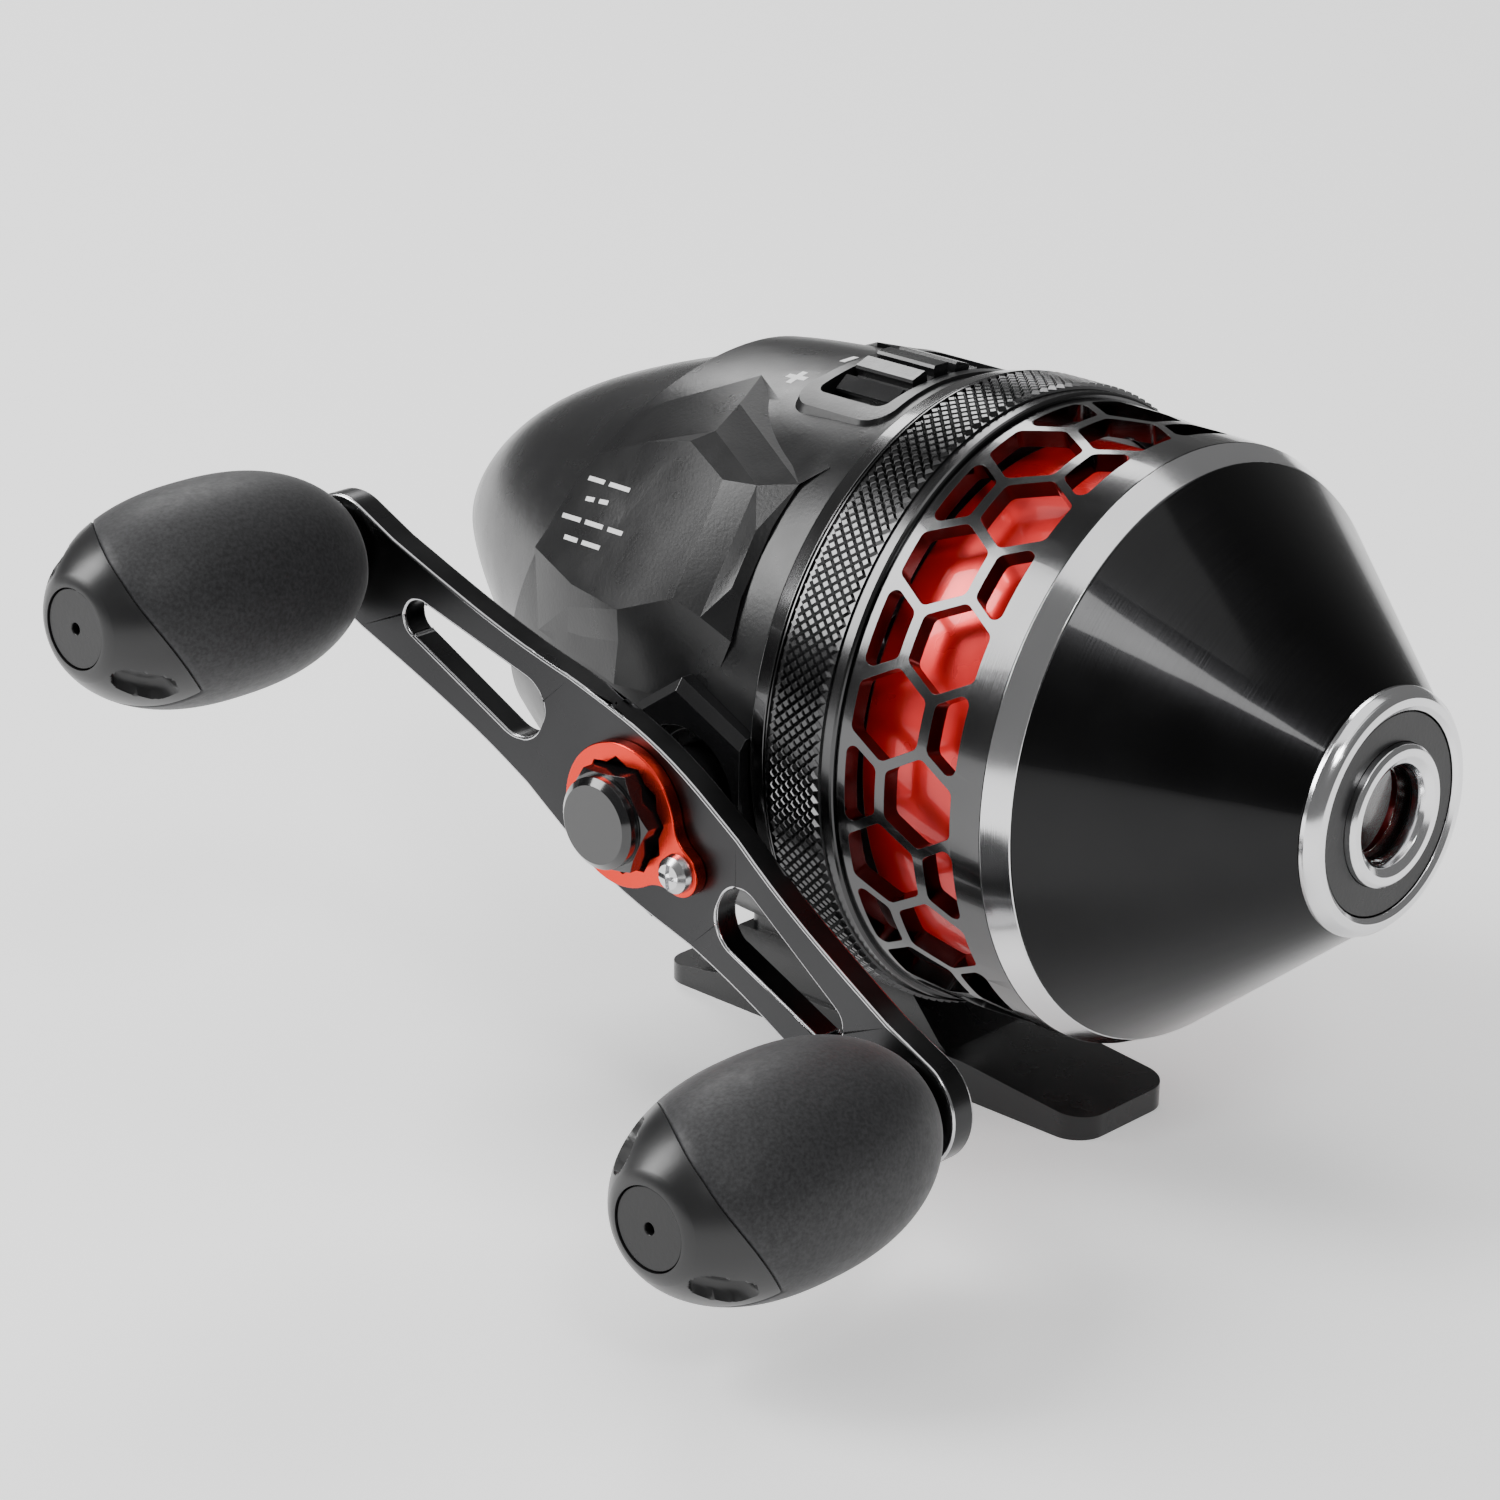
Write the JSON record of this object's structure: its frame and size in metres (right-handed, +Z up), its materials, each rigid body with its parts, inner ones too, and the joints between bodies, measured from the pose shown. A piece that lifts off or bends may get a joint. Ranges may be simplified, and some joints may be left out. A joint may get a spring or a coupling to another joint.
{
  "type": "spincast fishing reel",
  "caption": "Closed-face spincast fishing reel: faceted black housing, honeycomb front cover over a red spinner, double-knob crank, thumb button and drag wheel.",
  "frame": {"origin": "middle of the flat underside of the reel foot, where it rests on the rod's reel seat", "axes": "+Z up away from the foot, -Y out of the nose along the reel axis, -X towards the crank handle"},
  "size_m": [0.1113, 0.1262, 0.0765],
  "materials": {
    "matte_black": "matt black moulded plastic, fine grain",
    "gloss_black": "gloss black moulded plastic",
    "anodised_black": "black anodised turned aluminium",
    "arm_grey": "dark grey satin anodised aluminium",
    "bright_metal": "polished bright metal",
    "steel": "machined steel",
    "red_anodised": "red anodised aluminium",
    "soft_touch": "soft-touch black, fine speckle",
    "deck_metal": "die-cast aluminium",
    "brass": "machined brass",
    "nylon_white": "natural nylon",
    "line_clear": "wound monofilament line"
  },
  "bodies": {
    "root": {"housing": "matte_black", "collar_ring": "gloss_black", "crank_boss": "gloss_black", "foot": "matte_black", "foot_screws": "steel", "deck_plate": "deck_metal", "deck_screws": "steel", "pinion_bearing_rear": "steel", "pinion_bearing_front": "steel", "crank_bearing": "steel", "crank_bushing": "brass", "one_way_clutch": "steel", "rear_bulkhead": "matte_black", "shaft_bushing": "brass", "wheel_bracket": "matte_black", "thumb_pivot_pin": "steel", "shaft_spring": "steel", "button_spring": "steel"},
    "front_cover": {"cover_skirt": "anodised_black", "bright_ring": "bright_metal", "cover_cone": "anodised_black", "knurled_ring": "anodised_black", "nose_bezel": "bright_metal", "nose_insert": "matte_black", "line_guide": "bright_metal"},
    "crank": {"crankshaft": "steel", "crank_arm": "arm_grey", "crank_nut": "gloss_black", "retainer_plate": "red_anodised", "retainer_screw": "steel", "bearing_spacer": "brass", "drive_gear": "brass", "gear_clip": "steel", "knob_posts": "steel", "knob_screws": "steel"},
    "knob_rear": {"knob_grip_rear": "soft_touch", "knob_cap_rear": "gloss_black", "knob_disc_rear": "matte_black", "knob_ring_rear": "bright_metal", "knob_bushing_rear": "nylon_white"},
    "knob_front": {"knob_grip_front": "soft_touch", "knob_cap_front": "gloss_black", "knob_disc_front": "matte_black", "knob_ring_front": "bright_metal", "knob_bushing_front": "nylon_white"},
    "thumb": {"thumb_button": "matte_black"},
    "shaft_slider": {"thrust_pad": "nylon_white"},
    "rotor": {"centre_shaft": "steel", "spinner_head": "red_anodised", "spinner_nut": "steel", "shaft_clip": "steel"},
    "pickup": {"pickup_pin": "steel"},
    "pinion_body": {"pinion": "brass"},
    "spool_body": {"spool": "deck_metal", "line_pack": "line_clear"},
    "drag_control": {"drag_wheel": "matte_black"},
    "drag_follower": {"drag_shoe": "nylon_white"}
  },
  "joints": [
    {"name": "crank_turn", "type": "hinge", "parent": "root", "child": "crank", "pos_m": [0, 0.00295, 0.03707], "axis": [1, 0, 0], "continuous": true},
    {"name": "knob_rear_spin", "type": "hinge", "parent": "crank", "child": "knob_rear", "pos_m": [0, 0.04265, 0.05558], "axis": [1, 0, 0], "continuous": true},
    {"name": "knob_front_spin", "type": "hinge", "parent": "crank", "child": "knob_front", "pos_m": [0, -0.03675, 0.01856], "axis": [1, 0, 0], "continuous": true},
    {"name": "pinion_spin", "type": "hinge", "parent": "root", "child": "pinion_body", "pos_m": [0, 0, 0.0435], "axis": [0, 1, 0], "continuous": true},
    {"name": "thumb_press", "type": "hinge", "parent": "root", "child": "thumb", "pos_m": [0, 0.028, 0.0625], "axis": [-1, 0, 0], "range_deg": [0, 9], "stiffness_Nm_per_rad": 0.1, "springref_deg": -5.73, "deforming": ["shaft_spring", "button_spring"]},
    {"name": "shaft_push", "type": "slide", "parent": "root", "child": "shaft_slider", "axis": [0, -1, 0], "range_m": [0, 0.0031], "stiffness_N_per_m": 300, "springref_m": -0.003},
    {"name": "rotor_spin", "type": "hinge", "parent": "shaft_slider", "child": "rotor", "pos_m": [0, 0, 0.0435], "axis": [0, 1, 0], "continuous": true},
    {"name": "pin_retract", "type": "slide", "parent": "rotor", "child": "pickup", "axis": [0, 0, -1], "range_m": [0, 0.0016]},
    {"name": "spool_slip", "type": "hinge", "parent": "root", "child": "spool_body", "pos_m": [0, 0, 0.0435], "axis": [0, 1, 0], "continuous": true},
    {"name": "drag_turn", "type": "hinge", "parent": "root", "child": "drag_control", "pos_m": [0, 0, 0.0651], "axis": [0, 1, 0], "range_deg": [-160, 160]},
    {"name": "drag_press", "type": "slide", "parent": "root", "child": "drag_follower", "axis": [0, -1, 0], "range_m": [-0.00025, 0.00025]},
    {"name": "cover_off", "type": "slide", "parent": "root", "child": "front_cover", "axis": [0, -1, 0], "range_m": [0, 0.07]}
  ],
  "couplings": [
    {"joint": "pinion_spin", "follows": "crank_turn", "ratio": -4},
    {"joint": "rotor_spin", "follows": "crank_turn", "ratio": -4},
    {"joint": "thumb_press", "follows": "shaft_push", "rad_per_m": 50.671},
    {"joint": "pin_retract", "follows": "shaft_push", "ratio": 0.51613},
    {"joint": "drag_turn", "follows": "drag_press", "rad_per_m": 11170}
  ]
}
